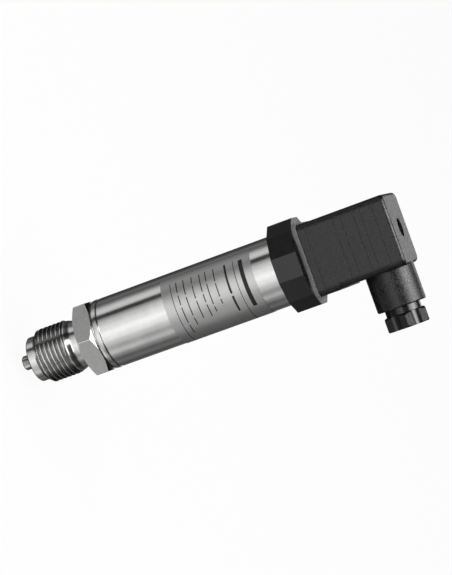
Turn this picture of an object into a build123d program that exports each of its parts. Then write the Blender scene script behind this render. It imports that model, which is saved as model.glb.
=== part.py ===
from build123d import *
import math
import os

# A screw-in pressure transmitter with an angled cable plug, in millimetres.
# The axis is Z. The process thread points down and the plug stands on top.
# The origin lies on the axis, in the sealing face at the lower end of the thread.
# The cable gland points along +X, and the front of the plug faces -Y.

# Fits
turning_clearance = 0.05
guide_clearance = 0.07
blade_clearance = 0.10
free_clearance = 0.30
parting_gap = 0.10
seat_clearance = 0.02
edge_chamfer = 0.4
ring_rounding_share = 0.4
bend_share = 0.45

# Process connection, a half-inch parallel pipe thread with a centring spigot
spigot_diameter = 5.6
spigot_length = 4.8
pilot_diameter = 17.5
pilot_length = 3.1
thread_diameter = 20.955
thread_length = 10.9
thread_pitch = 1.814
thread_depth = 1.162
thread_angle = 55.0
undercut_diameter = 18.4
undercut_length = 5.4
hexagon_step = 0.05
hexagon_height = 7.1
hexagon_chamfer = 30.0
pressure_bore = 3.0
neck_groove_width = 0.5
neck_groove_depth = 0.45
bead_step = 0.1
bead_height = 2.0
tube_groove_width = 0.4
tube_spigot_length = 5.6

# Sensor cell and what holds it
cell_diameter = 18.0
cell_thickness = 6.35
cell_notch_radius = 1.0
cell_notch_angles = (30, 150, 270)
cell_pocket_clearance = 0.1
cell_front_gap = 0.2
ring_seal_mean_diameter = 12.4
ring_seal_width = 1.8
ring_seal_groove_depth = 1.3
clamp_thread_diameter = 20.0
clamp_ring_height = 3.8
clamp_ring_bore = 13.0
clamp_ring_sink = 2.65
spanner_slot = 2.0

# Housing tube
tube_diameter = 26.9
tube_wall = 1.0
tube_length = 78.2

# Nameplate foil, left bare of names
label_thickness = 0.12
label_adhesive = 0.03
label_bottom_height = 26.7
label_height = 36.1
label_start_angle = -144.0
label_sweep = 200.0

# Electronics
carrier_plate = 2.0
board_end_gap = 4.0
rail_width = 4.4
board_edge_inset = 2.6
board_thickness = 1.6
board_slot_depth = 0.6
ribbon_width = 6.0
ribbon_thickness = 0.4
ribbon_play = 1.0
ribbon_bend = 1.5
ribbon_end = 8.0
lead_diameter = 1.2
lead_drop = 10.0
lead_rise = 6.0
lead_stand_off = 2.8
lead_entry = 0.5
board_hole = 1.4
board_hole_drop = 2.8
board_hole_spread = 9.5
hybrid_length = 9.0
hybrid_width = 6.0
hybrid_height = 0.5
carrier_clearance = 0.15

# Parts on the board: length, height and depth, and how far their middle lies below its top
amplifier_size = (7.5, 10.3, 2.3)
amplifier_drop = 32.0
converter_size = (9.0, 9.0, 1.4)
converter_drop = 18.0
capacitor_size = (3.2, 6.0, 2.6)
capacitor_drops = (28.0, 18.0)
capacitor_spread = 10.0
diode_size = (2.6, 4.3, 2.2)
diode_drop = 8.0
diode_pitch = 4.0
diode_count = 4

# Twelve-sided cap that carries the plug contacts
cap_flats = 33.6
cap_height = 9.7
cap_end_wall = 3.0
cap_sides = 12
plinth_height = 0.7
plinth_width = 26.4
cap_plug_length = 12.6
contact_room = 1.2
contact_bed = 4.0
cap_seal_width = 1.3
cap_seal_depth = 0.8
cap_seal_drop = 1.2
bush_diameter = 5.2
bush_length = 9.2
bush_boss_diameter = 9.2
bush_waist_length = 0.9
bush_waist_depth = 0.4

# Flat contacts of the 18 mm pattern
blade_circle = 18.0
blade_width = 6.3
blade_thickness = 0.8
blade_reach = 11.5
blade_tail = 6.3
blade_tip_chamfer = 0.24
contact_angles = {"contact_1": 180, "contact_2": 0, "contact_3": 270, "earth": 90}

# Flat gasket between cap and plug
gasket_thickness = 1.5
gasket_margin = 0.7
gasket_corner = 2.5

# Angled plug, as wide as its four contacts, their insert and its wall
plug_centre_x = 0.4
plug_height = 33.9
plug_wall = 2.2
plug_corner = 2.8
plug_edge_rounding = 1.5
cavity_extra_length = 0.2
side_step_height = 8.1
side_step_depth = 0.5
snap_ridge_height = 1.2
snap_ridge_depth = 0.45
groove_heights = (3.1, 13.9, 16.9, 21.7, 24.4, 29.0)
groove_width = 0.4
groove_depth = 0.22
groove_margin = 2.35

# Cable outlet of the plug
outlet_diameter = 18.6
outlet_depth = 13.65
seat_wall = 2.15
outlet_rounding = 0.6
gland_thread_diameter = 15.2
seal_passage_diameter = 10.0
gland_seal_length = 4.8
gland_seal_bore = 7.0
gland_seal_shares = (0.33, 0.67)
gland_seal_groove_width = 0.6
gland_seal_groove_depth = 0.4
gland_tightening = 2.1
thrust_ring_thickness = 1.0
thrust_ring_bore = 9.6
cable_bore = 9.0
cable_mouth_chamfer = 0.8
nut_gap = 2.4
nut_collar_diameter = 13.5
nut_head_length = 5.5
nut_flats = 15.5
nut_chamfer = 30.0
nut_sides = 6
nut_first_corner = -100.0
nut_end_chamfer = 0.8
flute_radius = 3.0
flute_depth = 0.6

# Plug screw
screw_diameter = 3.0
screw_engagement = 7.2
screw_chamfer_share = 0.12
screw_slot_share = 0.45
screw_head_diameter = 5.6
screw_head_height = 2.2
screw_head_sink = 1.8
screw_recess_diameter = 7.1
screw_slot = 0.8
screw_seal_thickness = 0.7
screw_seal_diameter = 5.6
roof_boss_wall = 1.5

# Terminal insert and its contacts
insert_clearance = 0.15
insert_bottom_gap = 0.4
insert_height = 16.0
insert_floor = 1.0
insert_side_wall = 0.65
sleeve_diameter = 6.8
socket_height = 9.5
socket_wall = 0.5
socket_thickness = 2.8
clamp_height = 5.5
clamp_width = 6.4
clamp_depth = 5.0
clamp_inset = 0.9
socket_window_margin = 2.0
wire_hole = 2.8
terminal_screw_diameter = 2.5
terminal_head_diameter = 4.2
terminal_head_height = 1.5
terminal_screw_length = 3.6

# Heights along the axis, from the sealing face
thread_start = pilot_length + (thread_diameter - pilot_diameter) / 2
thread_end = thread_start + thread_length
undercut_start = thread_end + (thread_diameter - undercut_diameter) / 2
hexagon_bottom = undercut_start + undercut_length
hexagon_top = hexagon_bottom + hexagon_height
bead_bottom = hexagon_top + neck_groove_width
tube_bottom = bead_bottom + bead_height + tube_groove_width
neck_top = tube_bottom + tube_spigot_length
tube_top = tube_bottom + tube_length
cap_top = tube_top + cap_end_wall
cap_bottom = cap_top - cap_height
plinth_top = cap_top + plinth_height
gasket_top = plinth_top + gasket_thickness
plug_bottom = gasket_top + parting_gap
plug_top = plug_bottom + plug_height
outlet_height = plug_top - outlet_diameter / 2
cell_top = neck_top - clamp_ring_sink - clamp_ring_height
cell_bottom = cell_top - cell_thickness
cell_floor_height = cell_bottom - cell_front_gap
carrier_bottom = neck_top
rail_bottom = carrier_bottom + carrier_plate
cap_plug_bottom = tube_top - cap_plug_length
rail_top = cap_plug_bottom - carrier_plate
bed_bottom = tube_top - contact_bed
board_top = rail_top - board_end_gap
insert_bottom = gasket_top + insert_bottom_gap
screw_head_top = plug_top - screw_head_sink
screw_head_bottom = screw_head_top - screw_head_height
screw_seat = screw_head_bottom - screw_seal_thickness - parting_gap
screw_length = screw_head_bottom - plinth_top + screw_engagement

# Places that several pieces share
thread_radius = thread_diameter / 2
tube_inner_radius = tube_diameter / 2 - tube_wall
neck_groove_diameter = tube_diameter - 2 * neck_groove_depth
bead_diameter = tube_diameter + 2 * bead_step
hexagon_flats = tube_diameter + 2 * hexagon_step
carrier_diameter = 2 * (tube_inner_radius - carrier_clearance)
board_width = carrier_diameter - 2 * board_edge_inset
contact_bore = blade_circle + 2 * contact_room
cap_plug_diameter = 2 * (tube_inner_radius - seat_clearance)
insert_width = blade_circle + socket_thickness + 2 * insert_side_wall
cavity_width = insert_width + 2 * insert_clearance
cavity_length = cavity_width + cavity_extra_length
plug_width = cavity_width + 2 * plug_wall
plug_length = cavity_length + 2 * plug_wall + side_step_depth
cavity_centre_x = plug_centre_x - side_step_depth / 2
cavity_end_x = cavity_centre_x + cavity_length / 2
cavity_corner = plug_corner - plug_wall / 2
cavity_top = plug_top - plug_wall
boss_bottom = screw_seat - plug_wall
boss_diameter = screw_recess_diameter + 2 * roof_boss_wall
insert_top = insert_bottom + insert_height
socket_bottom = insert_bottom + insert_floor
socket_top = socket_bottom + socket_height
socket_width = blade_width + 2 * blade_clearance + 2 * socket_wall
clamp_top = socket_top + clamp_height
clamp_radius = blade_circle / 2 - clamp_inset
blade_tip = plinth_top + blade_reach
blade_foot = tube_top - blade_tail
board_face = board_thickness / 2
outlet_seat_x = cavity_end_x + seat_wall
outlet_end_x = outlet_seat_x + outlet_depth
thrust_ring_start = outlet_seat_x + gland_seal_length + gland_tightening
thrust_ring_end = thrust_ring_start + thrust_ring_thickness
nut_head_start = outlet_end_x + nut_gap
nut_head_end = nut_head_start + nut_head_length


def rod(diameter, bottom, top):
    return Pos(0, 0, (bottom + top) / 2) * Cylinder(diameter / 2, top - bottom)


def tube_between(inner, outer, bottom, top):
    return rod(outer, bottom, top) - rod(inner, bottom, top)


def along_x(solid):
    """Lay a solid built on Z along X, at the height of the cable outlet."""
    return Pos(0, 0, outlet_height) * Rot(0, 90, 0) * solid


def turned(points):
    """A solid of revolution about Z from radius and height pairs."""
    outline = make_face(Plane.XZ * Polyline(points, close=True))
    return revolve(outline, Axis.Z)


def rounded_ring(mean_diameter, width, height, middle, corner):
    """A squeezed sealing ring with a rounded section."""
    section = Pos(mean_diameter / 2, middle) * RectangleRounded(width, height, corner)
    return revolve(Plane.XZ * section, Axis.Z)


def slab(length, width, bottom, top, corner=0.0, centre_x=0.0):
    """An upright block, with its long edges rounded where a corner is given."""
    outline = RectangleRounded(length, width, corner) if corner else Rectangle(length, width)
    return Pos(centre_x, 0, bottom) * extrude(outline, top - bottom)


def prism(flats, sides, bottom, top, turn):
    outline = RegularPolygon(flats / 2, sides, major_radius=False, rotation=turn)
    return Pos(0, 0, bottom) * extrude(outline, top - bottom)


def at_contact(angle, radius, solid):
    """Move a solid out from the axis to a contact's place."""
    return Rot(0, 0, angle) * Pos(radius, 0, 0) * solid


def thread_outline():
    """Crests and roots at the thread's pitch, as rings, in radius and height pairs."""
    root = thread_radius - thread_depth
    flank = thread_depth * math.tan(math.radians(thread_angle / 2))
    land = thread_pitch / 2 - flank
    points = [(thread_radius, thread_start)]
    for groove in range(int(thread_length / thread_pitch)):
        start = thread_start + groove * thread_pitch + land / 2
        points += [
            (thread_radius, start),
            (root, start + flank),
            (root, start + flank + land),
            (thread_radius, start + 2 * flank + land),
        ]
    return points + [(thread_radius, thread_end)]


def process_connection():
    """One turned and milled piece: spigot, pilot, thread, hexagon, bead and cell chamber."""
    spigot = spigot_diameter / 2
    pilot = pilot_diameter / 2
    undercut = undercut_diameter / 2
    groove = neck_groove_diameter / 2
    bead = bead_diameter / 2
    inner = tube_inner_radius - seat_clearance
    bead_top = bead_bottom + bead_height
    bead_middle = (bead_bottom + bead_top) / 2
    shank = turned([
        (0, -spigot_length),
        (spigot - edge_chamfer, -spigot_length),
        (spigot, -spigot_length + edge_chamfer),
        (spigot, 0),
        (pilot - edge_chamfer, 0),
        (pilot, edge_chamfer),
        (pilot, pilot_length),
        *thread_outline(),
        (undercut, undercut_start),
        (undercut, hexagon_bottom),
        (undercut, hexagon_top),
        (groove, hexagon_top),
        (groove, bead_bottom),
        (bead - edge_chamfer, bead_bottom),
        (bead, bead_middle),
        (bead - edge_chamfer, bead_top),
        (groove, bead_top),
        (groove, tube_bottom),
        (inner, tube_bottom),
        (inner, neck_top),
        (0, neck_top),
    ])
    flat = hexagon_flats / 2
    reach = hexagon_flats / math.sqrt(3) + edge_chamfer
    rise = (reach - flat) * math.tan(math.radians(hexagon_chamfer))
    envelope = turned([
        (0, hexagon_bottom),
        (flat, hexagon_bottom),
        (reach, hexagon_bottom + rise),
        (reach, hexagon_top - rise),
        (flat, hexagon_top),
        (0, hexagon_top),
    ])
    hexagon = prism(hexagon_flats, 6, hexagon_bottom, hexagon_top, 90) & envelope
    pocket = cell_diameter + 2 * cell_pocket_clearance
    ring_outer = ring_seal_mean_diameter + ring_seal_width
    ring_inner = ring_seal_mean_diameter - ring_seal_width
    groove_bottom = cell_floor_height - ring_seal_groove_depth
    solid = shank + hexagon
    solid -= rod(pressure_bore, -spigot_length, cell_floor_height)
    solid -= rod(pocket, cell_floor_height, cell_top)
    solid -= rod(clamp_thread_diameter, cell_top, neck_top)
    solid -= tube_between(ring_inner, ring_outer, groove_bottom, cell_floor_height)
    return solid


def cell_seal():
    bottom = cell_floor_height - ring_seal_groove_depth
    height = cell_bottom - bottom
    middle = (cell_bottom + bottom) / 2
    corner = height * ring_rounding_share
    return rounded_ring(ring_seal_mean_diameter, ring_seal_width, height, middle, corner)


def measuring_cell():
    """A ceramic disc with three locating notches and its hybrid circuit on top."""
    solid = rod(cell_diameter, cell_bottom, cell_top)
    notch = rod(2 * cell_notch_radius, cell_bottom, cell_top)
    for angle in cell_notch_angles:
        solid -= at_contact(angle, cell_diameter / 2, notch)
    return solid + slab(hybrid_length, hybrid_width, cell_top, cell_top + hybrid_height)


def cell_clamp_ring():
    outer = clamp_thread_diameter - 2 * seat_clearance
    top = cell_top + clamp_ring_height
    ring = tube_between(clamp_ring_bore, outer, cell_top, top)
    return ring - slab(clamp_thread_diameter, spanner_slot, top - spanner_slot, top)


def tube_housing():
    return tube_between(2 * tube_inner_radius, tube_diameter, tube_bottom, tube_top)


def nameplate():
    """Thin foil bent round part of the tube."""
    middle = tube_bottom + label_bottom_height + label_height / 2
    radius = tube_diameter / 2 + label_adhesive + label_thickness / 2
    section = Pos(radius, middle) * Rectangle(label_thickness, label_height)
    foil = revolve(Plane.XZ * section, Axis.Z, revolution_arc=label_sweep)
    return Rot(0, 0, label_start_angle) * foil


def board_carrier():
    """A moulded frame: a foot plate, two slotted rails and a top ring round the leads."""
    foot = rod(carrier_diameter, carrier_bottom, rail_bottom)
    foot -= slab(ribbon_width + 2 * ribbon_play, ribbon_width, carrier_bottom, rail_bottom)
    ring = tube_between(contact_bore, carrier_diameter, rail_top, cap_plug_bottom)
    rail_inner = board_width / 2 - board_slot_depth
    rail_outer = carrier_diameter / 2
    rail_middle = (rail_inner + rail_outer) / 2
    rail = slab(rail_outer - rail_inner, rail_width, rail_bottom, rail_top, 0, rail_middle)
    rail &= rod(carrier_diameter, rail_bottom, rail_top)
    frame = foot + ring + rail + Rot(0, 0, 180) * rail
    return frame - slab(board_width, board_thickness, rail_bottom, rail_top)


def circuit_board():
    board = slab(board_width, board_thickness, rail_bottom, board_top)
    hole = Rot(90, 0, 0) * Cylinder(board_hole / 2, 2 * board_thickness)
    for side in (-1, 1):
        board -= Pos(side * board_hole_spread / 2, 0, board_top - board_hole_drop) * hole
    return board


def board_part(size, x, drop, side):
    """A component that stands on one face of the board, measured down from its top."""
    length, height, depth = size
    centre = side * (board_face + depth / 2)
    return Pos(x, centre, board_top - drop) * Box(length, depth, height)


def amplifier_chip():
    return board_part(amplifier_size, 0, amplifier_drop, -1)


def converter_chip():
    return board_part(converter_size, 0, converter_drop, -1)


def capacitors():
    """Four tantalum blocks on the rear face."""
    places = (-capacitor_spread / 2, capacitor_spread / 2)
    return [board_part(capacitor_size, x, drop, 1) for x in places for drop in capacitor_drops]


def protection_diodes():
    first = -diode_pitch * (diode_count - 1) / 2
    places = [first + diode_pitch * step for step in range(diode_count)]
    return [board_part(diode_size, x, diode_drop, 1) for x in places]


def cell_ribbon():
    """Flat lead from the cell's circuit up through the carrier to the board's rear face."""
    low = cell_top + hybrid_height + ribbon_thickness / 2
    rear = board_face + ribbon_thickness / 2
    end = rail_bottom + ribbon_end
    path = FilletPolyline((0, -hybrid_width / 2, low), (0, rear, low), (0, rear, end), radius=ribbon_bend)
    start = Plane(origin=path @ 0, x_dir=(1, 0, 0), z_dir=path % 0)
    return sweep(start * Rectangle(ribbon_width, ribbon_thickness), path)


def lead(points):
    """A round wire along straight runs, with each bend as large as its two runs allow."""
    radii = []
    for before, here, after in zip(points, points[1:], points[2:]):
        first = Vector(*here) - Vector(*before)
        second = Vector(*after) - Vector(*here)
        half_turn = math.radians(first.get_angle(second)) / 2
        shorter = min(first.length, second.length)
        radii.append(bend_share * shorter / math.tan(half_turn))
    path = FilletPolyline(*points, radius=radii)
    section = Plane(origin=path @ 0, z_dir=path % 0) * Circle(lead_diameter / 2)
    return sweep(section, path)


def lead_route(angle):
    """From the board's face, out, up and over to the foot of one contact."""
    out = blade_circle / 2
    foot_x = out * math.cos(math.radians(angle))
    foot_y = out * math.sin(math.radians(angle))
    side = 1 if angle == contact_angles["earth"] else -1
    start_x = foot_x / 3
    low = board_top - lead_drop
    stand_off = side * (board_face + lead_stand_off)
    return [
        (start_x, side * board_face, low),
        (start_x, stand_off, low),
        (start_x, stand_off, low + lead_rise),
        (foot_x, foot_y, cap_plug_bottom + lead_entry),
        (foot_x, foot_y, blade_foot),
    ]


def connector_cap():
    """Twelve-sided moulding that closes the tube and carries the contacts in a solid bed."""
    tube_seat = tube_diameter + 2 * seat_clearance
    bush_bottom = plinth_top - bush_length
    solid = prism(cap_flats, cap_sides, cap_bottom, cap_top, 180 / cap_sides)
    solid -= rod(tube_seat, cap_bottom, tube_top)
    solid += tube_between(contact_bore, cap_plug_diameter, cap_plug_bottom, bed_bottom)
    solid += rod(cap_plug_diameter, bed_bottom, tube_top)
    solid += slab(plinth_width, plinth_width, cap_top, plinth_top, gasket_corner)
    solid += rod(bush_boss_diameter, bush_bottom, bed_bottom)
    seal_top = tube_top - cap_seal_drop
    seal_floor = cap_plug_diameter - 2 * cap_seal_depth
    solid -= tube_between(seal_floor, cap_plug_diameter, seal_top - cap_seal_width, seal_top)
    solid -= rod(bush_diameter, bush_bottom, plinth_top)
    slot = slab(blade_thickness, blade_width, bed_bottom, plinth_top)
    for angle in contact_angles.values():
        solid -= at_contact(angle, blade_circle / 2, slot)
    return solid


def cap_seal():
    floor_radius = cap_plug_diameter / 2 - cap_seal_depth
    depth = tube_inner_radius - floor_radius
    middle = tube_top - cap_seal_drop - cap_seal_width / 2
    corner = depth * ring_rounding_share
    return rounded_ring(2 * floor_radius + depth, depth, cap_seal_width, middle, corner)


def threaded_bush():
    """Brass insert with a waist between its two gripping bands."""
    bottom = plinth_top - bush_length
    bore = screw_diameter + 2 * turning_clearance
    waist_bottom = bottom + (bush_length - bush_waist_length) / 2
    waist_diameter = bush_diameter - 2 * bush_waist_depth
    waist = tube_between(waist_diameter, bush_diameter, waist_bottom, waist_bottom + bush_waist_length)
    return tube_between(bore, bush_diameter, bottom, plinth_top) - waist


def contact_blade(angle):
    blade = slab(blade_thickness, blade_width, blade_foot, blade_tip)
    tip = blade.faces().sort_by(Axis.Z)[-1]
    blade = chamfer(tip.edges(), blade_tip_chamfer)
    return at_contact(angle, blade_circle / 2, blade)


def flat_gasket():
    """A square sheet on the axis, slotted for the contacts."""
    width = plug_width + 2 * gasket_margin
    solid = slab(width, width, plinth_top, gasket_top, gasket_corner)
    play = 2 * free_clearance
    slot = slab(blade_thickness + play, blade_width + play, plinth_top, gasket_top)
    for angle in contact_angles.values():
        solid -= at_contact(angle, blade_circle / 2, slot)
    return solid - rod(screw_diameter + 2 * play, plinth_top, gasket_top)


def plug_housing():
    """Angled moulded shell with grooved faces, a round cable outlet and a screw recess."""
    step_top = plug_bottom + side_step_height
    upper_length = plug_length - side_step_depth
    body = slab(upper_length, plug_width, plug_bottom, plug_top, plug_corner, cavity_centre_x)
    rim = body.faces().sort_by(Axis.Z)[-1].edges()
    body = fillet(rim, plug_edge_rounding)
    body += slab(plug_length, plug_width, plug_bottom, step_top, plug_corner, plug_centre_x)
    face_x = plug_centre_x + plug_length / 2 - side_step_depth
    ridge_width = plug_width - 2 * plug_corner
    ridge_bottom = step_top + snap_ridge_height
    ridge_top = ridge_bottom + snap_ridge_height
    ridge = slab(2 * snap_ridge_depth, ridge_width, ridge_bottom, ridge_top, 0, face_x)
    outlet = rod(outlet_diameter, 0, outlet_end_x)
    outlet = fillet(outlet.edges().group_by(Axis.Z)[-1], outlet_rounding)
    body = body + ridge + along_x(outlet)
    body -= slab(cavity_length, cavity_width, plug_bottom, cavity_top, cavity_corner, cavity_centre_x)
    body += rod(boss_diameter, boss_bottom, plug_top - plug_edge_rounding)
    body -= rod(screw_recess_diameter, screw_seat, plug_top)
    body -= rod(screw_diameter + 2 * free_clearance, boss_bottom, screw_seat)
    body -= along_x(rod(seal_passage_diameter, cavity_end_x - free_clearance, outlet_seat_x))
    body -= along_x(rod(gland_thread_diameter + 2 * guide_clearance, outlet_seat_x, outlet_end_x))
    groove_length = plug_length - 2 * groove_margin
    cut = slab(groove_length, 2 * groove_depth, -groove_width / 2, groove_width / 2, 0, plug_centre_x)
    for height in groove_heights:
        for side in (-1, 1):
            body -= Pos(0, side * plug_width / 2, plug_bottom + height) * cut
    return body


def terminal_insert():
    """Block that holds the four contacts, with a sleeve round the plug screw."""
    length = cavity_length - 2 * insert_clearance
    corner = cavity_corner - insert_clearance
    solid = slab(length, insert_width, insert_bottom, insert_top, corner, cavity_centre_x)
    solid += rod(sleeve_diameter, insert_top, boss_bottom)
    solid -= rod(screw_diameter + 2 * free_clearance, insert_bottom, boss_bottom)
    play = 2 * seat_clearance
    pocket = slab(socket_thickness + play, socket_width + play, socket_bottom, socket_top)
    gap = 2 * free_clearance
    entry = slab(blade_thickness + gap, blade_width + gap, insert_bottom, socket_bottom)
    clamp_pocket = slab(clamp_depth + play, clamp_width + play, socket_top, insert_top)
    for angle in contact_angles.values():
        solid -= at_contact(angle, blade_circle / 2, pocket)
        solid -= at_contact(angle, blade_circle / 2, entry)
        solid -= at_contact(angle, clamp_radius, clamp_pocket)
    return solid


def socket_contact(angle):
    """Sprung sleeve that grips a blade, with its clamp block above."""
    shift = clamp_radius - blade_circle / 2
    solid = slab(socket_thickness, socket_width, socket_bottom, socket_top)
    solid += slab(clamp_depth, clamp_width, socket_top, clamp_top, 0, shift)
    gap = 2 * blade_clearance
    slot_top = blade_tip + 2 * blade_clearance
    solid -= slab(blade_thickness + gap, blade_width + gap, socket_bottom, slot_top)
    solid -= slab(socket_thickness, socket_wall, socket_bottom, socket_top - socket_window_margin)
    wire_height = socket_top + clamp_height / 2
    solid -= Pos(shift, 0, wire_height) * Rot(0, 90, 0) * Cylinder(wire_hole / 2, clamp_depth)
    screw_hole = rod(terminal_screw_diameter, wire_height, clamp_top)
    solid -= Pos(shift, 0, 0) * screw_hole
    return at_contact(angle, blade_circle / 2, solid)


def slotted_screw(diameter, length, head_diameter, head_height, head_bottom):
    """A cheese-head screw on the axis, standing head up."""
    tip = head_bottom - length
    head_top = head_bottom + head_height
    shank = rod(diameter, tip, head_bottom)
    shank = chamfer(shank.edges().group_by(Axis.Z)[0], diameter * screw_chamfer_share)
    head = rod(head_diameter, head_bottom, head_top)
    head = chamfer(head.edges().group_by(Axis.Z)[-1], head_height * screw_chamfer_share)
    slot_floor = head_top - head_height * screw_slot_share
    return shank + head - slab(head_diameter, screw_slot, slot_floor, head_top)


def terminal_screws():
    diameter = terminal_screw_diameter - 2 * seat_clearance
    length = terminal_screw_length
    screw = slotted_screw(diameter, length, terminal_head_diameter, terminal_head_height, clamp_top)
    return [at_contact(angle, clamp_radius, screw) for angle in contact_angles.values()]


def plug_screw():
    head_bottom = screw_head_bottom
    return slotted_screw(screw_diameter, screw_length, screw_head_diameter, screw_head_height, head_bottom)


def screw_seal():
    bottom = screw_seat + parting_gap
    bore = screw_diameter + 2 * turning_clearance
    return tube_between(bore, screw_seal_diameter, bottom, screw_head_bottom)


def gland_seal():
    """Rubber bush with two ring grooves round its outside."""
    end = outlet_seat_x + gland_seal_length
    waist = gland_thread_diameter - 2 * gland_seal_groove_depth
    solid = tube_between(gland_seal_bore, gland_thread_diameter, outlet_seat_x, end)
    for share in gland_seal_shares:
        start = outlet_seat_x + gland_seal_length * share - gland_seal_groove_width / 2
        solid -= tube_between(waist, gland_thread_diameter, start, start + gland_seal_groove_width)
    return along_x(solid)


def gland_thrust_ring():
    outer = gland_thread_diameter + 2 * guide_clearance - 2 * free_clearance
    return along_x(tube_between(thrust_ring_bore, outer, thrust_ring_start, thrust_ring_end))


def gland_nut():
    """Pressure screw: threaded shank, collar and a hexagon head with a flute down each face."""
    shank_start = thrust_ring_end + parting_gap
    thread = gland_thread_diameter / 2
    collar = nut_collar_diameter / 2
    corner = nut_flats / 2 / math.cos(math.pi / nut_sides)
    chamfer_start = nut_flats / 2 - edge_chamfer
    chamfer_rise = (corner - chamfer_start) * math.tan(math.radians(nut_chamfer))
    shank = turned([
        (0, shank_start),
        (thread - edge_chamfer, shank_start),
        (thread, shank_start + edge_chamfer),
        (thread, outlet_end_x - edge_chamfer),
        (collar, outlet_end_x),
        (collar, nut_head_start),
        (0, nut_head_start),
    ])
    envelope = turned([
        (0, nut_head_start),
        (chamfer_start, nut_head_start),
        (corner, nut_head_start + chamfer_rise),
        (corner, nut_head_end - nut_end_chamfer - edge_chamfer),
        (corner - edge_chamfer, nut_head_end - edge_chamfer),
        (corner - edge_chamfer - nut_end_chamfer, nut_head_end),
        (0, nut_head_end),
    ])
    head = prism(nut_flats, nut_sides, nut_head_start, nut_head_end, nut_first_corner) & envelope
    flute = rod(2 * flute_radius, nut_head_start, nut_head_end)
    face_angle = 360 / nut_sides
    for step in range(nut_sides):
        angle = nut_first_corner + face_angle * (step + 0.5)
        head -= at_contact(angle, nut_flats / 2 - flute_depth + flute_radius, flute)
    mouth = cable_bore / 2 + cable_mouth_chamfer
    bore = turned([
        (0, shank_start),
        (cable_bore / 2, shank_start),
        (cable_bore / 2, nut_head_end - cable_mouth_chamfer),
        (mouth, nut_head_end),
        (0, nut_head_end),
    ])
    return along_x(shank + head - bore)


def save(name, shape):
    """Write one node; a list of solids becomes one group."""
    if isinstance(shape, list):
        shape = Compound(children=shape)
    export_step(shape, f"parts/{name}.step")


def main():
    os.makedirs("parts", exist_ok=True)
    single_pieces = (
        process_connection,
        cell_seal,
        measuring_cell,
        cell_clamp_ring,
        tube_housing,
        nameplate,
        board_carrier,
        circuit_board,
        amplifier_chip,
        converter_chip,
        capacitors,
        protection_diodes,
        cell_ribbon,
        connector_cap,
        cap_seal,
        threaded_bush,
        flat_gasket,
        plug_housing,
        terminal_insert,
        terminal_screws,
        plug_screw,
        screw_seal,
        gland_seal,
        gland_thrust_ring,
        gland_nut,
    )
    for piece in single_pieces:
        save(piece.__name__, piece())
    for name, angle in contact_angles.items():
        save(f"blade_{name}", contact_blade(angle))
        save(f"socket_{name}", socket_contact(angle))
        save(f"lead_{name}", lead(lead_route(angle)))


main()
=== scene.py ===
import math

import bpy
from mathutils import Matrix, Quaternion, Vector


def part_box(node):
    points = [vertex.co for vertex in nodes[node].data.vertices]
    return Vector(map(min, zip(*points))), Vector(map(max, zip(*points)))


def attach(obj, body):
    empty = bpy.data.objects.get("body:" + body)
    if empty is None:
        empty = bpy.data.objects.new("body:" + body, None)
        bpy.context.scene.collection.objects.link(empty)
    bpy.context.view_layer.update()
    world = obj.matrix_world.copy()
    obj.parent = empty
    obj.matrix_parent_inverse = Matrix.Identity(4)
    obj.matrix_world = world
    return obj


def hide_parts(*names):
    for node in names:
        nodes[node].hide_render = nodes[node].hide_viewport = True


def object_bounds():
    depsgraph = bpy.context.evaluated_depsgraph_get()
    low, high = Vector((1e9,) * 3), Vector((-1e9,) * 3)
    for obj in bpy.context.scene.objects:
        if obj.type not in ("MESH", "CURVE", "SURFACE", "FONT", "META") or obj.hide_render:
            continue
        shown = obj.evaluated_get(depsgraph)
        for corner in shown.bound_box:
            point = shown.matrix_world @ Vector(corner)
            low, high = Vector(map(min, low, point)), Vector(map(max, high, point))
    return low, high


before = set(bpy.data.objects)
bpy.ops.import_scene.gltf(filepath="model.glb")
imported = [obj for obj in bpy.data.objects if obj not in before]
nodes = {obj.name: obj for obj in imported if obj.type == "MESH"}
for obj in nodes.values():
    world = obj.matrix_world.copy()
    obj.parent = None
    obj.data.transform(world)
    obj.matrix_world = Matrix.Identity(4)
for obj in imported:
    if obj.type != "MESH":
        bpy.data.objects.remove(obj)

cadLow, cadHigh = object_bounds()        # the CAD model's box, before anything is added
mm = 0.001
weld = 0.0005 * mm        # points nearer than this are one


# Helpers for modelling

def clearSelection():
    bpy.ops.object.select_all(action="DESELECT")


def pick(piece):
    clearSelection()
    piece.select_set(True)
    bpy.context.view_layer.objects.active = piece


def editAll(piece):        # edit mode with everything selected
    pick(piece)
    bpy.ops.object.mode_set(mode="EDIT")
    bpy.ops.mesh.select_all(action="SELECT")


def objectMode():
    bpy.ops.object.mode_set(mode="OBJECT")


def applyModifier(piece, kind, **settings):
    pick(piece)
    modifier = piece.modifiers.new(kind.title(), kind)
    for name, value in settings.items():
        setattr(modifier, name, value)
    bpy.ops.object.modifier_apply(modifier=modifier.name)


def breakEdges(piece, width, angle=25, segments=2):        # the small radius that every real edge has
    applyModifier(piece, "BEVEL", width=width * mm, segments=segments, limit_method="ANGLE",
                  angle_limit=math.radians(angle), miter_outer="MITER_ARC")


def smooth(piece, angle=50):        # rounds the small faces and keeps the large ones flat
    pick(piece)
    bpy.ops.object.shade_smooth_by_angle(angle=math.radians(angle))
    applyModifier(piece, "WEIGHTED_NORMAL", mode="FACE_AREA", weight=60, keep_sharp=True)


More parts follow.
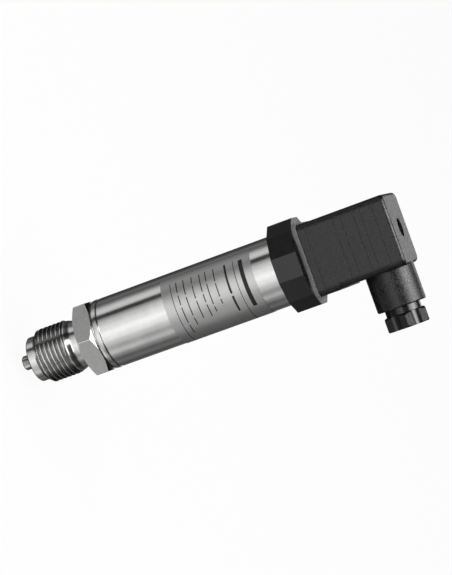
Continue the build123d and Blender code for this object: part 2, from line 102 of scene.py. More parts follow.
def drawOutline(name, outline):        # extrudes one vertex along pairs of radius and height, in mm
    clearSelection()
    bpy.ops.mesh.primitive_plane_add(size=mm)
    piece = bpy.context.object
    piece.name = name
    editAll(piece)
    bpy.ops.mesh.merge(type="CENTER")
    bpy.ops.transform.translate(value=(outline[0][0] * mm, 0, outline[0][1] * mm))
    for (radius, height), (nextRadius, nextHeight) in zip(outline, outline[1:]):
        step = ((nextRadius - radius) * mm, 0, (nextHeight - height) * mm)
        bpy.ops.mesh.extrude_region_move(TRANSFORM_OT_translate={"value": step})
    return piece


def turnPiece(name, outline, steps=192, sweep=360, start=0):        # an outline turned round Z
    piece = drawOutline(name, outline)
    bpy.ops.mesh.select_all(action="SELECT")
    # spin goes clockwise, so its angle is negative
    bpy.ops.mesh.spin(steps=steps, angle=math.radians(-sweep), center=(0, 0, 0), axis=(0, 0, 1))
    bpy.ops.mesh.select_all(action="SELECT")
    bpy.ops.mesh.remove_doubles(threshold=weld)
    bpy.ops.mesh.fill_holes(sides=0)
    bpy.ops.mesh.normals_make_consistent(inside=False)
    objectMode()
    for vertex in piece.data.vertices:
        vertex.co.rotate(Quaternion((0, 0, 1), math.radians(start)))
    return piece


def ring(inner, outer, bottom, top):        # closed outline of a plain ring
    return [(inner, bottom), (outer, bottom), (outer, top), (inner, top), (inner, bottom)]


def combine(piece, other, operation):
    applyModifier(piece, "BOOLEAN", object=other, operation=operation, solver="EXACT",
                  material_mode="TRANSFER")
    bpy.data.objects.remove(other)


def copyNode(node, name):        # the CAD shape as a new piece, its triangles joined into whole faces
    piece = bpy.data.objects.new(name, nodes[node].data.copy())
    bpy.context.collection.objects.link(piece)
    piece.data.materials.clear()
    editAll(piece)
    bpy.ops.mesh.remove_doubles(threshold=weld)
    bpy.ops.mesh.customdata_custom_splitnormals_clear()
    bpy.ops.mesh.dissolve_limited(angle_limit=math.radians(0.5))
    objectMode()
    return piece


def finishPiece(piece, looks, slot, body, *replaced):        # what every new piece ends with
    for look in looks:
        if finishes[look] not in piece.data.materials[:]:
            piece.data.materials.append(finishes[look])
    if replaced:
        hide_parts(*replaced)
    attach(piece, body)
    print("made:", piece.name, len(piece.data.polygons), "faces")


def boxOf(node):        # a CAD node's lowest and highest corner, in mm
    low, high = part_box(node)
    return low / mm, high / mm


# Helpers for materials

def hexColor(code):        # sRGB hex to linear
    channels = [int(code[i:i + 2], 16) / 255 for i in (1, 3, 5)]
    linear = [c / 12.92 if c <= 0.04045 else ((c + 0.055) / 1.055) ** 2.4 for c in channels]
    return (*linear, 1)


def addNode(tree, kind, settings=None, links=None):        # one node with its settings and what feeds it
    node = tree.nodes.new(kind)
    for name, value in (settings or {}).items():
        if name == "stops":        # a ramp's grey levels, the first at 0 and the last at 1
            stops = node.color_ramp.elements
            for place, level in value[1:-1]:
                stops.new(place).color = (level, level, level, 1)
            for stop, (place, level) in ((stops[0], value[0]), (stops[-1], value[-1])):
                stop.color = (level, level, level, 1)
        elif isinstance(name, int) or name in node.inputs:
            node.inputs[name].default_value = value
        else:
            setattr(node, name, value)
    for name, socket in (links or {}).items():
        tree.links.new(socket, node.inputs[name])
    return node


def latheLines(tree, place):        # a point's radius and height, so that a pattern runs in rings
    split = addNode(tree, "ShaderNodeSeparateXYZ", None, {"Vector": place})
    across = addNode(tree, "ShaderNodeCombineXYZ", None, {"X": split.outputs["X"], "Y": split.outputs["Y"]})
    radius = addNode(tree, "ShaderNodeVectorMath", {"operation": "LENGTH"}, {0: across.outputs["Vector"]})
    rings = addNode(tree, "ShaderNodeCombineXYZ", None,
                    {"X": radius.outputs["Value"], "Z": split.outputs["Z"]})
    return rings.outputs["Vector"]


def makeFinish(name, look):        # two close colours, a grain in its relief, and gloss that varies
    material = bpy.data.materials.new(name)
    material.use_nodes = True
    tree = material.node_tree
    shader = tree.nodes["Principled BSDF"]
    shader.inputs["Metallic"].default_value = look.get("metallic", 0)
    if not look.get("metallic"):
        shader.inputs["IOR"].default_value = look["ior"]
    place = addNode(tree, "ShaderNodeTexCoord").outputs["Object"]
    along = latheLines(tree, place) if look.get("turned") else place
    grain = addNode(tree, "ShaderNodeTexNoise",
                    {"Scale": 1 / (look["grain"] * mm), "Detail": 3, "Roughness": 0.6},
                    {"Vector": along}).outputs["Fac"]
    cloud = addNode(tree, "ShaderNodeTexNoise",
                    {"Scale": 1 / (look["cloud"] * mm), "Detail": 4, "Roughness": 0.55},
                    {"Vector": place}).outputs["Fac"]
    blend = addNode(tree, "ShaderNodeMix", {0: look.get("speckle", 0.3)}, {2: cloud, 3: grain}).outputs[0]
    width = look.get("contrast", 0.15)
    even = addNode(tree, "ShaderNodeMapRange", {"From Min": 0.5 - width, "From Max": 0.5 + width},
                   {"Value": blend}).outputs["Result"]
    color = addNode(tree, "ShaderNodeMix", {"data_type": "RGBA", 6: hexColor(look["color"]),
                                            7: hexColor(look["lighter"])}, {0: even}).outputs[2]
    tree.links.new(color, shader.inputs["Base Color"])
    gloss = addNode(tree, "ShaderNodeMapRange",
                    {"From Min": 0.35, "From Max": 0.65, "To Min": look["roughness"] - look["vary"],
                     "To Max": look["roughness"] + look["vary"]}, {"Value": blend}).outputs["Result"]
    tree.links.new(gloss, shader.inputs["Roughness"])
    relief = addNode(tree, "ShaderNodeBump", {"Strength": 1, "Distance": look["depth"] * mm},
                     {"Height": grain}).outputs["Normal"]
    tree.links.new(relief, shader.inputs["Normal"])
    return material


# Finishes. Grain, cloud and depth are in mm: the size of one grain, of one patch, and how deep the relief is.
# Vary is how far the roughness strays, speckle the grain's share in the colours, and contrast the width of
# the step between them: small is crisp. Turned surfaces have their grain in rings round the axis.

looks = {
    # stainless tube, polished on a lathe: a mirror drawn out by fine rings, 0.1 mm apart in truth, and drawn
    # 0.3 mm apart to show
    "polishedSteel": {"color": "#dadad9", "lighter": "#e4e4e3", "metallic": 1, "roughness": 0.13, "vary": 0.03,
                      "grain": 0.30, "cloud": 5.0, "depth": 0.0008, "turned": True},
    # stainless bar, turned: bright, with the tool's rings, a feed of 0.15 mm apart in truth, drawn twice as far
    "turnedSteel": {"color": "#d2d2d0", "lighter": "#dededc", "metallic": 1, "roughness": 0.17, "vary": 0.05,
                    "grain": 0.32, "cloud": 3.0, "depth": 0.0014, "turned": True},
    # the same bar in the thread's flanks, as the tool cut them: a little duller than the bar's skin, and greyer
    # in colour as painted shade for the dark bands that the flanks show
    "cutSteel": {"color": "#acacaa", "lighter": "#bababa", "metallic": 1, "roughness": 0.21, "vary": 0.02,
                 "grain": 0.60, "cloud": 2.0, "depth": 0.0010, "turned": True},
    # hexagon bar as drawn and pickled: dull and even, with a crystal grain that is drawn coarser to show
    "drawnSteel": {"color": "#d2d2d1", "lighter": "#e6e6e5", "metallic": 1, "roughness": 0.55, "vary": 0.05,
                   "grain": 0.60, "cloud": 2.5, "depth": 0.010, "speckle": 0.8},
    # aluminium foil, etched matt: silky, so it blurs what the tube beside it mirrors
    "mattFoil": {"color": "#cccccb", "lighter": "#d5d5d4", "metallic": 1, "roughness": 0.42, "vary": 0.02,
                 "grain": 0.30, "cloud": 4.0, "depth": 0.0015, "speckle": 0.6},
    # screen ink, baked: dull black
    "printInk": {"color": "#141415", "lighter": "#1e1e1f", "ior": 1.5, "roughness": 0.55, "vary": 0.05,
                 "grain": 0.25, "cloud": 2.0, "depth": 0.003},
    # glass-filled polyamide from a ground mould: black, nearly smooth, with a low sheen
    "capPlastic": {"color": "#0b0b0c", "lighter": "#121213", "ior": 1.53, "roughness": 0.30, "vary": 0.04,
                   "grain": 0.40, "cloud": 4.0, "depth": 0.004},
    # the same polyamide from a spark-eroded mould: an even grain that sparkles, 0.4 mm in truth, and drawn
    # at 0.6 mm to show
    "plugPlastic": {"color": "#020202", "lighter": "#1c1c1d", "ior": 1.53, "roughness": 0.38, "vary": 0.10,
                    "grain": 0.60, "cloud": 5.0, "depth": 0.10, "speckle": 0.95, "contrast": 0.08},
    # the nut's lands, from a coarser grain than the shell's, so duller
    "nutGrain": {"color": "#040404", "lighter": "#151516", "ior": 1.53, "roughness": 0.60, "vary": 0.08,
                 "grain": 0.60, "cloud": 3.0, "depth": 0.06, "speckle": 0.9, "contrast": 0.1},
    # flutes and collar of the nut, polished in the mould
    "nutPlastic": {"color": "#101011", "lighter": "#171718", "ior": 1.53, "roughness": 0.24, "vary": 0.04,
                   "grain": 0.50, "cloud": 3.0, "depth": 0.003},
    # nitrile sheet: grey, dull and slightly chalky
    "greyRubber": {"color": "#5f5f5e", "lighter": "#6d6d6c", "ior": 1.52, "roughness": 0.62, "vary": 0.05,
                   "grain": 0.28, "cloud": 3.0, "depth": 0.012, "speckle": 0.6},
    # nitrile mouldings: black and dull
    "blackRubber": {"color": "#171717", "lighter": "#202020", "ior": 1.52, "roughness": 0.58, "vary": 0.05,
                    "grain": 0.30, "cloud": 3.0, "depth": 0.010},
    # polyamide inside the plug and the tube: smooth mouldings, a shade lighter than the shell
    "insertPlastic": {"color": "#27272a", "lighter": "#303033", "ior": 1.53, "roughness": 0.42, "vary": 0.05,
                      "grain": 0.40, "cloud": 4.0, "depth": 0.006},
    "carrierPlastic": {"color": "#383b3e", "lighter": "#434649", "ior": 1.53, "roughness": 0.48, "vary": 0.05,
                       "grain": 0.40, "cloud": 4.0, "depth": 0.006},
    # machined brass, bare and tinned, and zinc-plated steel: bright, with the marks of the tool
    "brass": {"color": "#bd9750", "lighter": "#cca962", "metallic": 1, "roughness": 0.26, "vary": 0.06,
              "grain": 0.20, "cloud": 1.5, "depth": 0.003},
    "tinnedBrass": {"color": "#c2c0b9", "lighter": "#d2d0ca", "metallic": 1, "roughness": 0.30, "vary": 0.06,
                    "grain": 0.20, "cloud": 1.5, "depth": 0.003},
    "zincSteel": {"color": "#aeb2b7", "lighter": "#c2c5c9", "metallic": 1, "roughness": 0.32, "vary": 0.06,
                  "grain": 0.25, "cloud": 1.5, "depth": 0.004},
    # alumina, fired and ground: off-white and close-grained
    "ceramic": {"color": "#e2dfd5", "lighter": "#ece9e1", "ior": 1.76, "roughness": 0.36, "vary": 0.05,
                "grain": 0.15, "cloud": 2.0, "depth": 0.003},
    # epoxy laminate under green lacquer, with the weave of its glass cloth
    "boardLaminate": {"color": "#1b5230", "lighter": "#24613b", "ior": 1.55, "roughness": 0.36, "vary": 0.05,
                      "grain": 0.50, "cloud": 2.5, "depth": 0.006, "speckle": 0.6},
    # chip and capacitor mouldings, ribbon film and wire insulation
    "chipResin": {"color": "#171719", "lighter": "#202022", "ior": 1.55, "roughness": 0.50, "vary": 0.05,
                  "grain": 0.20, "cloud": 2.0, "depth": 0.005},
    "tantalumResin": {"color": "#bd8629", "lighter": "#cd9838", "ior": 1.55, "roughness": 0.42, "vary": 0.05,
                      "grain": 0.20, "cloud": 2.0, "depth": 0.005},
    "ribbonFilm": {"color": "#a96b26", "lighter": "#ba7b32", "ior": 1.60, "roughness": 0.34, "vary": 0.05,
                   "grain": 0.30, "cloud": 2.0, "depth": 0.003},
    "wireBrown": {"color": "#52301d", "lighter": "#613a25", "ior": 1.54, "roughness": 0.44, "vary": 0.05,
                  "grain": 0.25, "cloud": 2.0, "depth": 0.004},
    "wireBlue": {"color": "#204a90", "lighter": "#2b58a2", "ior": 1.54, "roughness": 0.44, "vary": 0.05,
                 "grain": 0.25, "cloud": 2.0, "depth": 0.004},
    "wireBlack": {"color": "#171718", "lighter": "#202021", "ior": 1.54, "roughness": 0.44, "vary": 0.05,
                  "grain": 0.25, "cloud": 2.0, "depth": 0.004},
    "wireGreen": {"color": "#578124", "lighter": "#669331", "ior": 1.54, "roughness": 0.44, "vary": 0.05,
                  "grain": 0.25, "cloud": 2.0, "depth": 0.004},
}
finishes = {name: makeFinish(name, look) for name, look in looks.items()}
slotFinish = {        # the record's material slots, and the finish that each one gets
    "turned_steel": "turnedSteel", "polished_steel": "polishedSteel", "matt_foil": "mattFoil",
    "ceramic": "ceramic", "black_rubber": "blackRubber", "grey_rubber": "greyRubber",
    "carrier_plastic": "carrierPlastic", "board_laminate": "boardLaminate", "chip_resin": "chipResin",
    "tantalum_resin": "tantalumResin", "ribbon_film": "ribbonFilm", "wire_brown": "wireBrown",
    "wire_blue": "wireBlue", "wire_black": "wireBlack", "wire_green": "wireGreen", "cap_plastic": "capPlastic",
    "plug_plastic": "plugPlastic", "nut_plastic": "nutGrain", "insert_plastic": "insertPlastic",
    "brass": "brass", "tinned_brass": "tinnedBrass", "zinc_steel": "zincSteel",
}


def dressNodes():        # every CAD node that stays gets its finish
    for node in nodes.values():
        for slot in node.material_slots:
            name = slot.material.name.split(".")[0] if slot.material else ""
            slot.material = finishes[slotFinish[name]]
    print("dressed:", len(nodes), "CAD nodes")


# The tube, the foil round it, and the foil's plain marks

tubeLow, tubeHigh = boxOf("tube_housing")
foilLow, foilHigh = boxOf("nameplate")
tube = {"radius": tubeHigh.x, "wall": 1.0, "bottom": tubeLow.z, "top": tubeHigh.z, "edge": 0.10,
        "steps": 256}
foil = {
    "outer": -foilLow.y, "thickness": 0.12, "bottom": foilLow.z, "top": foilHigh.z,
    "start": -144.0, "sweep": 200.0, "steps": 160,
    "front": -90.0,        # the angle that faces the camera; the marks' angles count from it
    "inkHeight": 0.012, "markStep": 2,        # a mark has a column of faces every 2 degrees
}
printedRings = {"heights": (63.0, 88.45), "width": 0.26, "from": -42, "to": 144}
printedRows = [        # height of the row's middle, height of its marks, then the marks from angle to angle
    (91.35, 1.6, ((-40, 41),)),
    (85.1, 0.8, ((-41, 8), (12, 40))),
    (80.5, 0.4, ((-41, -19), (-16, 6), (10, 18))),
    (77.2, 0.4, ((-41, -24), (-20, 14), (18, 27))),
    (74.8, 0.4, ((-41, -10), (-6, 7), (11, 32))),
    (71.6, 0.4, ((-41, -29), (-26, -4), (0, 30))),
    (68.3, 0.4, ((-41, -15), (-11, 20), (24, 38))),
    (65.4, 0.4, ((-41, -22), (-18, -2), (2, 29), (33, 52))),
]


def makeTube():
    outline = ring(tube["radius"] - tube["wall"], tube["radius"], tube["bottom"], tube["top"])
    piece = turnPiece("polishedTube", outline, tube["steps"])
    breakEdges(piece, tube["edge"], 40)
    smooth(piece)
    finishPiece(piece, ["polishedSteel"], "polished_steel", "transmitter", "tube_housing")


def makeFoil():
    outline = ring(foil["outer"] - foil["thickness"], foil["outer"], foil["bottom"], foil["top"])
    piece = turnPiece("foilWrap", outline, foil["steps"], foil["sweep"], foil["start"])
    smooth(piece)
    finishPiece(piece, ["mattFoil"], "matt_foil", "transmitter", "nameplate")


def addMark(firstAngle, lastAngle, middle, height):        # one flat mark, laid out by angle, wrapped later
    columns = max(2, round(abs(lastAngle - firstAngle) / foil["markStep"]))
    bpy.ops.mesh.primitive_grid_add(x_subdivisions=columns, y_subdivisions=1, size=1)
    mark = bpy.context.object
    mark.scale = ((lastAngle - firstAngle) * mm, height * mm, 1)
    mark.rotation_euler = (math.radians(90), 0, 0)
    mark.location = ((firstAngle + lastAngle) / 2 * mm, 0, middle * mm)
    return mark


def makePrint():        # plain rings and bars
    clearSelection()
    marks = [addMark(printedRings["from"], printedRings["to"], height, printedRings["width"])
             for height in printedRings["heights"]]
    for middle, height, spans in printedRows:
        marks += [addMark(first, last, middle, height) for first, last in spans]
    pick(marks[0])
    for mark in marks:
        mark.select_set(True)
    bpy.ops.object.join()
    bpy.ops.object.transform_apply(location=True, rotation=True, scale=True)
    piece = marks[0]
    piece.name = "foilPrint"
    for vertex in piece.data.vertices:        # wrap: millimetres along X become degrees round the tube
        angle = math.radians(vertex.co.x / mm + foil["front"])
        radius = foil["outer"] * mm
        vertex.co = Vector((radius * math.cos(angle), radius * math.sin(angle), vertex.co.z))
    applyModifier(piece, "SOLIDIFY", thickness=foil["inkHeight"] * mm, offset=1)
    editAll(piece)
    bpy.ops.mesh.normals_make_consistent(inside=False)
    objectMode()
    smooth(piece)
    finishPiece(piece, ["printInk"], "matt_foil", "transmitter")


# The screwed connection: spigot, pilot, pipe thread, undercut, hexagon and bead

connectionLow, connectionHigh = boxOf("process_connection")
connection = {
    "boreRadius": 1.5, "boreEnd": 18.0, "boreChamfer": 0.3,
    "spigotRadius": 2.8, "spigotEnd": connectionLow.z, "pilotRadius": 8.75, "pilotTop": 3.1, "endChamfer": 0.4,
    "threadRadius": 10.4775, "threadStart": 4.8275, "threadEnd": 15.7275,
    "coreStart": (0.3, 0.75),        # above the pilot's top, inside the thread, the body narrows between these
    "coreEnd": 0.6,        # and widens again this far below the thread's end
    "runOut": ((10.0, 16.2), (9.91, 16.75), (9.76, 17.3), (9.52, 18.0)),        # behind the last turn
    "undercutRadius": 9.2, "undercutStart": 18.9,
    "hexagonBottom": 22.405, "hexagonTop": 29.505, "hexagonFlats": 27.0, "hexagonEdge": 0.22,
    "chamferAngle": 30, "chamferStart": 0.02,        # the chamfers begin this far outside the flats
    "hexagonSpare": 1,        # how much longer its bar is before the chamfers are cut
    "grooveDepth": 0.45, "beadBottom": 30.005, "beadRadius": 13.55, "beadCrown": 0.06, "beadTop": 32.005,
    "beadSteps": 4,        # points in half the bead's crown
    "neckPlay": 0.02, "neckTop": connectionHigh.z,
    "edge": 0.08,        # width of the broken edges
    "weld": 0.002,
}
pipeThread = {        # half-inch pipe thread: 14 turns to the inch, flanks at 55 degrees, round crest and root
    "pitch": 25.4 / 14, "depthShare": 0.6403, "roundingShare": 0.1373, "flankAngle": 55,
    "steps": 192, "rootSteps": 3, "weld": 0.001,
    "lead": 2.25,        # turns below the thread's start; the quarter brings a crest to the front there
    "crestTrim": 0.05,        # what the bar's turned skin takes off the crest's round, mm
    "skin": 0.02,        # faces less than this below the bar's radius keep its turned skin
    "clearance": 0.3,        # the envelope clears the crests by this
    "inset": 0.05, "endInset": 0.06, "overlap": 0.4,        # how far the envelope's ends lie inside the body
    "spare": 0.1,        # the helix is first cut this far outside the envelope
}


def makeThread():        # a right-hand helix with one turn's section, trimmed to its bar
    c, t = connection, pipeThread
    pitch, bar, soft = t["pitch"], c["threadRadius"], t["roundingShare"] * t["pitch"]
    root, crest = bar - t["depthShare"] * pitch, bar + t["crestTrim"]
    low = c["threadStart"] - t["lead"] * pitch
    lean = 90 - t["flankAngle"] / 2
    flatTurn = math.acos(1 - t["crestTrim"] / soft)        # where the round meets the flat
    rootTurns = [math.radians(lean * step / t["rootSteps"]) for step in range(t["rootSteps"] + 1)]
    outline = [(root + soft * (1 - math.cos(turn)), low + soft * math.sin(turn)) for turn in rootTurns]
    for turn in (-math.radians(lean), -flatTurn, flatTurn, math.radians(lean)):        # the crest
        outline.append((crest - soft * (1 - math.cos(turn)), low + pitch / 2 + soft * math.sin(turn)))
    for turn in reversed(rootTurns):        # the other half of the rounded root
        outline.append((root + soft * (1 - math.cos(turn)), low + pitch - soft * math.sin(turn)))
    piece = drawOutline("threadBar", outline)
    objectMode()
    end = (c["runOut"][0][0] - t["endInset"], c["runOut"][0][1])
    top = end[1] + t["overlap"]
    applyModifier(piece, "SCREW", axis="Z", angle=2 * math.pi, screw_offset=pitch * mm,
                  iterations=math.ceil((top - low) / pitch) + 1, steps=t["steps"], render_steps=t["steps"],
                  use_merge_vertices=True, merge_threshold=t["weld"] * mm)
    for height, inner in ((c["pilotTop"] - t["spare"], True), (top + t["spare"], False)):
        editAll(piece)
        bpy.ops.mesh.remove_doubles(threshold=t["weld"] * mm)
        bpy.ops.mesh.bisect(plane_co=(0, 0, height * mm), plane_no=(0, 0, 1), use_fill=True,
                            clear_inner=inner, clear_outer=not inner, threshold=1e-8)
        objectMode()
    editAll(piece)
    bpy.ops.mesh.normals_make_consistent(inside=False)
    objectMode()
    piece.data.materials.append(finishes["cutSteel"])
    piece.data.materials.append(finishes["turnedSteel"])
    # the flanks keep the cut finish, whose greyer colour is painted shade; the crests get the bar's bright skin
    for face in piece.data.polygons:        # the crests keep the bar's skin
        face.material_index = int(math.hypot(face.center.x, face.center.y) / mm > bar - t["skin"])
    start, bottom, reach = c["pilotRadius"] - t["inset"], c["pilotTop"] - t["inset"], t["clearance"]
    envelope = turnPiece("threadEnvelope", [
        (0, bottom), (start, bottom), (bar + reach, c["threadStart"] + reach),
        (bar + reach, c["threadEnd"] - reach), end, (end[0] - t["overlap"], top), (0, top)])
    envelope.data.materials.append(finishes["turnedSteel"])
    combine(piece, envelope, "INTERSECT")
    return piece


def makeHexagon():        # drawn bar, its ends chamfered on the lathe
    c = connection
    bottom, top, flat = c["hexagonBottom"], c["hexagonTop"], c["hexagonFlats"] / 2
    corner = flat / math.cos(math.radians(30))
    clearSelection()
    bpy.ops.mesh.primitive_cylinder_add(vertices=6, radius=corner * mm,
                                        depth=(top - bottom + c["hexagonSpare"]) * mm,
                                        location=(0, 0, (top + bottom) / 2 * mm))
    piece = bpy.context.object
    piece.name = "hexagonBar"
    bpy.ops.object.transform_apply(location=True)
    breakEdges(piece, c["hexagonEdge"], 50, 3)
    piece.data.materials.append(finishes["drawnSteel"])
    piece.data.materials.append(finishes["turnedSteel"])
    for face in piece.data.polygons:        # the long edges, at 30 degrees, are bright where they were broken
        turn = math.degrees(math.atan2(face.normal.y, face.normal.x)) % 60
        if abs(face.normal.z) < 0.2 and abs(turn - 30) < 25:
            face.material_index = 1
    reach, start = corner + c["hexagonSpare"], flat + c["chamferStart"]
    rise = (reach - start) * math.tan(math.radians(c["chamferAngle"]))
    envelope = turnPiece("hexagonEnvelope", [
        (0, bottom), (start, bottom), (reach, bottom + rise), (reach, top - rise), (start, top), (0, top)])
    envelope.data.materials.append(finishes["turnedSteel"])
    combine(piece, envelope, "INTERSECT")
    return piece


def makeConnection():
    c = connection
    spigot, end, bore, pilot = c["spigotRadius"], c["spigotEnd"], c["boreRadius"], c["pilotRadius"]
    boreChamfer, chamfer, (coreLow, coreHigh) = c["boreChamfer"], c["endChamfer"], c["coreStart"]
    undercut, inside = c["undercutRadius"], (c["hexagonBottom"] + c["hexagonTop"]) / 2
    groove, neck = tube["radius"] - c["grooveDepth"], tube["radius"] - tube["wall"] - c["neckPlay"]
    bead = []
    for step in range(2 * c["beadSteps"] + 1):        # the bead is a low crown
        along = step / c["beadSteps"] - 1
        bead.append((c["beadRadius"] - c["beadCrown"] * along ** 2,
                     (c["beadBottom"] + c["beadTop"]) / 2 + along * (c["beadTop"] - c["beadBottom"]) / 2))
    piece = turnPiece("screwConnection", [
        (0, c["boreEnd"]), (bore, c["boreEnd"]), (bore, end + boreChamfer), (bore + boreChamfer, end),
        (spigot - chamfer, end), (spigot, end + chamfer), (spigot, 0),
        (pilot - chamfer, 0), (pilot, chamfer), (pilot, c["pilotTop"] + coreLow),
        (undercut, c["pilotTop"] + coreHigh), (undercut, c["threadEnd"] - c["coreEnd"]), *c["runOut"],
        (undercut, c["undercutStart"]), (undercut, inside), (groove, inside), (groove, c["beadBottom"]), *bead,
        (groove, c["beadTop"]), (groove, tube["bottom"]), (neck, tube["bottom"]), (neck, c["neckTop"]),
        (0, c["neckTop"])])
    breakEdges(piece, c["edge"], 20)
    piece.data.materials.append(finishes["turnedSteel"])
    combine(piece, makeThread(), "UNION")
    combine(piece, makeHexagon(), "UNION")
    editAll(piece)        # where the thread leaves the pilot and the run-out, points lie a hair apart
    bpy.ops.mesh.remove_doubles(threshold=c["weld"] * mm)
    bpy.ops.mesh.dissolve_degenerate(threshold=c["weld"] * mm)
    objectMode()
    smooth(piece, 35)
    finishPiece(piece, ["turnedSteel", "drawnSteel", "cutSteel"], "turned_steel", "transmitter",
                "process_connection")


# Moulded pieces: the CAD shape with its edges broken

moulded = {        # piece, node, body, finish, slot, edge radius
    "twelveSidedCap": ("connector_cap", "transmitter", "capPlastic", "cap_plastic", 0.20),
    "flatGasket": ("flat_gasket", "transmitter", "greyRubber", "grey_rubber", 0.25),
    "angledPlug": ("plug_housing", "angle_plug", "plugPlastic", "plug_plastic", 0.10),
    "glandNut": ("gland_nut", "gland", "nutGrain", "nut_plastic", 0.12),
}
nut = {
    "flats": 15.5, "headLength": 5.5,
    "landDepth": 0.03, "headMargin": 0.1,        # faces deeper than this in the head are its flutes
}


def polishFlutes(piece):        # the nut's flutes and collar are smooth, its lands keep the grain
    low, high = boxOf("gland_nut")
    axisHeight = (low.z + high.z) / 2
    for face in piece.data.polygons:
        away = math.hypot(face.center.y / mm, face.center.z / mm - axisHeight)
        onHead = face.center.x / mm > high.x - nut["headLength"] + nut["headMargin"]
        facesEnd = abs(face.normal.x) > 0.7
        if not facesEnd and (not onHead or away < nut["flats"] / 2 - nut["landDepth"]):
            face.material_index = 1


def makeMoulded():
    for name, (node, body, look, slot, edge) in moulded.items():
        piece = copyNode(node, name)
        breakEdges(piece, edge, 28)
        smooth(piece)
        piece.data.materials.append(finishes[look])
        if name == "glandNut":
            piece.data.materials.append(finishes["nutPlastic"])
            polishFlutes(piece)
        if name == "twelveSidedCap":        # its end is grained like the plug
            piece.data.materials.append(finishes["plugPlastic"])
            for face in piece.data.polygons:
                face.material_index = int(face.normal.z > 0.5)
        finishPiece(piece, [look], slot, body, node)


# Studio: floor, lamps, surroundings and camera

studio = {
    "floorDrop": 0.2,        # below the spigot, mm
    "floorRadius": 4.0, "floorColor": "#f4f4f4", "floorLighter": "#f6f6f6",
    "whiteShare": 0.93,        # how much of plain white the camera sees on the floor, over its own shaded colour
    "lampAim": (0, 0, 0.08),
    "dullLevel": 0.55,        # what the surroundings add to dull surfaces
    "panelLevel": 1.25,
}
lowStrip = {        # a flat light in front, which the thread's turns show
    "level": 2.6, "source": (0, -1, 0),
    "heights": (0.11, 0.04), "widths": (0.84, 0.93),        # sines and cosines at which it begins and is full
}
spots = {        # round lights: where from, cosines at which each begins and is full, and level
    "ceiling": ((0, 0, 1), 0.80, 0.95, 0.7),
    "overhead": ((0, 0, 1), 0.93, 0.985, 4.0),
    "behind": ((0, 0.966, 0.259), 0.93, 0.99, 1.9),
    "softbox": ((0.03, -0.34, 0.94), 0.90, 0.97, 6.5),
    "blob": ((-0.413, -0.887, 0.208), 0.965, 0.992, 1.9),        # the bright patch on the run-out
    "side": ((0.663, -0.383, -0.643), 0.90, 0.97, 0.55),
    "below": ((-0.25, -0.21, -0.944), 0.965, 0.985, 1.2),        # seen only in the undercut
}
# the light behind fades in between these heights, so that only faces that turn up show it
behindHeights = (0.12, 0.24)
lamps = {        # position in m, size in m, power in W
    "overhead": ((0.10, -0.10, 1.00), 0.60, 4.0),
    "front": ((-0.40, -1.10, 0.50), 0.60, 2.5),
}
panels = [        # white panels and dark flags all round: compass angle from the camera's side, grey level
    (-180, 0.22), (-172, 0.10), (-155, 0.03), (-140, 0.05), (-122, 0.13), (-110, 0.09), (-100, 0.20),
    (-90, 0.47), (-79, 0.60), (-70, 0.50), (-65, 0.04), (-55, 0.04), (-48, 0.32), (-36, 0.56), (-18, 0.78),
    (0, 1.0), (18, 0.82), (34, 0.54), (54, 0.26), (71, 0.42), (84, 0.22), (98, 0.10), (116, 0.13),
    (138, 0.06), (158, 0.10), (172, 0.20), (180, 0.22),
]
panelHeights = [        # how far the panels reach: sine of the height above the horizon, share of their level
    (-1, 0.03), (-0.90, 0.04), (-0.70, 0.12), (-0.55, 0.40), (-0.40, 1.0), (-0.18, 1.0), (-0.08, 0.40),
    (0.08, 0.15), (0.25, 0.05), (1, 0.04),
]
cameraView = {        # angles in degrees, distance in m, what it aims at in mm
    "azimuth": 0.8236, "elevation": 15.226, "roll": 70.0, "distance": 0.8673, "aim": (-1.08, -0.014, 80.18),
    "lens": 146.04, "sensor": 36.0,
}


def makeFloor():
    clearSelection()
    bpy.ops.mesh.primitive_circle_add(vertices=96, radius=studio["floorRadius"], fill_type="NGON",
                                      location=(0, 0, cadLow[2] - studio["floorDrop"] * mm))
    floor = bpy.context.object
    floor.name = "paleFloor"
    floor.visible_glossy = False
    material = makeFinish("paleFloor", {        # matt painted board
        "color": studio["floorColor"], "lighter": studio["floorLighter"], "ior": 1.5,
        "roughness": 0.9, "vary": 0.05, "grain": 6, "cloud": 60, "depth": 0.01})
    tree = material.node_tree
    white = addNode(tree, "ShaderNodeEmission", {"Color": (1, 1, 1, 1), "Strength": 1.0})
    path = addNode(tree, "ShaderNodeLightPath")
    share = addNode(tree, "ShaderNodeMath", {"operation": "MULTIPLY", 1: studio["whiteShare"]},
                    {0: path.outputs["Is Camera Ray"]})
    mixed = addNode(tree, "ShaderNodeMixShader", None,
                    {0: share.outputs["Value"], 1: tree.nodes["Principled BSDF"].outputs["BSDF"],
                     2: white.outputs["Emission"]})
    tree.links.new(mixed.outputs["Shader"], tree.nodes["Material Output"].inputs["Surface"])
    floor.data.materials.append(material)


def makeLamps():
    for name, (place, size, power) in lamps.items():
        light = bpy.data.lights.new(name, "AREA")
        light.size = size
        light.energy = power
        lamp = bpy.data.objects.new(name, light)
        bpy.context.collection.objects.link(lamp)
        lamp.location = place
        lamp.rotation_euler = (Vector(studio["lampAim"]) - Vector(place)).to_track_quat("-Z", "Y").to_euler()
        lamp.visible_glossy = False


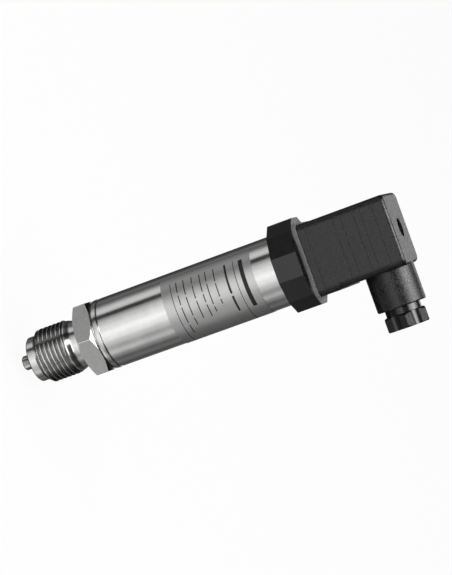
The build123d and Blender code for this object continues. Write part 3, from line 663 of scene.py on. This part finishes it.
def makeSurroundings():        # white to the camera, panels and flags to steel, an even level to dull surfaces
    world = bpy.data.worlds.new("studio")
    bpy.context.scene.world = world
    world.use_nodes = True
    tree = world.node_tree
    place = addNode(tree, "ShaderNodeTexCoord").outputs["Generated"]
    split = addNode(tree, "ShaderNodeSeparateXYZ", None, {"Vector": place})
    front = addNode(tree, "ShaderNodeMath", {"operation": "MULTIPLY", 1: -1}, {0: split.outputs["Y"]})
    angle = addNode(tree, "ShaderNodeMath", {"operation": "ARCTAN2"},
                    {0: split.outputs["X"], 1: front.outputs["Value"]})
    turn = addNode(tree, "ShaderNodeMapRange", {"From Min": -math.pi, "From Max": math.pi},
                   {"Value": angle.outputs["Value"]})
    around = addNode(tree, "ShaderNodeValToRGB", {"stops": [((a + 180) / 360, level) for a, level in panels]},
                     {"Fac": turn.outputs["Result"]})
    around.color_ramp.interpolation = "EASE"
    rise = addNode(tree, "ShaderNodeMapRange", {"From Min": -1, "From Max": 1}, {"Value": split.outputs["Z"]})
    reach = addNode(tree, "ShaderNodeValToRGB", {"stops": [((z + 1) / 2, level) for z, level in panelHeights]},
                    {"Fac": rise.outputs["Result"]})
    panel = addNode(tree, "ShaderNodeMath", {"operation": "MULTIPLY"},
                    {0: around.outputs["Color"], 1: reach.outputs["Color"]})
    mirrored = addNode(tree, "ShaderNodeMath", {"operation": "MULTIPLY", 1: studio["panelLevel"]},
                       {0: panel.outputs["Value"]}).outputs["Value"]
    low = addNode(tree, "ShaderNodeMath", {"operation": "ABSOLUTE"}, {0: split.outputs["Z"]})
    flat = addNode(tree, "ShaderNodeMapRange",
                   {"From Min": lowStrip["heights"][0], "From Max": lowStrip["heights"][1]},
                   {"Value": low.outputs["Value"]})
    ahead = addNode(tree, "ShaderNodeVectorMath", {"operation": "DOT_PRODUCT", 1: lowStrip["source"]},
                    {0: place})
    middle = addNode(tree, "ShaderNodeMapRange",
                     {"From Min": lowStrip["widths"][0], "From Max": lowStrip["widths"][1],
                      "To Max": lowStrip["level"]}, {"Value": ahead.outputs["Value"]})
    lights = [addNode(tree, "ShaderNodeMath", {"operation": "MULTIPLY"},
                      {0: flat.outputs["Result"], 1: middle.outputs["Result"]}).outputs["Value"]]
    for name, (source, start, full, level) in spots.items():
        toward = addNode(tree, "ShaderNodeVectorMath", {"operation": "DOT_PRODUCT", 1: source}, {0: place})
        spot = addNode(tree, "ShaderNodeMapRange", {"From Min": start, "From Max": full, "To Max": level,
                                                    "interpolation_type": "SMOOTHSTEP"},
                       {"Value": toward.outputs["Value"]}).outputs["Result"]
        if name == "behind":
            raised = addNode(tree, "ShaderNodeMapRange",
                             {"From Min": behindHeights[0], "From Max": behindHeights[1],
                              "interpolation_type": "SMOOTHSTEP"}, {"Value": split.outputs["Z"]})
            spot = addNode(tree, "ShaderNodeMath", {"operation": "MULTIPLY"},
                           {0: spot, 1: raised.outputs["Result"]}).outputs["Value"]
        lights.append(spot)
    for light in lights:
        mirrored = addNode(tree, "ShaderNodeMath", {"operation": "ADD"},
                           {0: mirrored, 1: light}).outputs["Value"]
    path = addNode(tree, "ShaderNodeLightPath")
    lit = addNode(tree, "ShaderNodeMix", {2: studio["dullLevel"]},
                  {0: path.outputs["Is Glossy Ray"], 3: mirrored})
    clear = addNode(tree, "ShaderNodeMath", {"operation": "MAXIMUM"},
                    {0: path.outputs["Is Camera Ray"], 1: path.outputs["Is Transmission Ray"]})
    seen = addNode(tree, "ShaderNodeMix", {3: 1.0}, {0: clear.outputs["Value"], 2: lit.outputs[0]})
    tree.links.new(seen.outputs[0], tree.nodes["Background"].inputs["Color"])


def makeCamera():
    azimuth, elevation = math.radians(cameraView["azimuth"]), math.radians(cameraView["elevation"])
    back = Vector((math.sin(azimuth) * math.cos(elevation), -math.cos(azimuth) * math.cos(elevation),
                   math.sin(elevation)))
    data = bpy.data.cameras.new("camera")
    data.lens = cameraView["lens"]
    data.sensor_width = cameraView["sensor"]
    camera = bpy.data.objects.new("camera", data)
    bpy.context.collection.objects.link(camera)
    camera.location = Vector(cameraView["aim"]) * mm + back * cameraView["distance"]
    camera.rotation_mode = "QUATERNION"
    roll = Quaternion((0, 0, 1), math.radians(cameraView["roll"]))
    camera.rotation_quaternion = (-back).to_track_quat("-Z", "Y") @ roll
    bpy.context.scene.camera = camera


dressNodes()
makeTube()
makeFoil()
makePrint()
makeConnection()
makeMoulded()
makeFloor()
makeLamps()
makeSurroundings()
makeCamera()
bpy.context.scene.view_settings.view_transform = "Standard"
print("made: studio and camera")
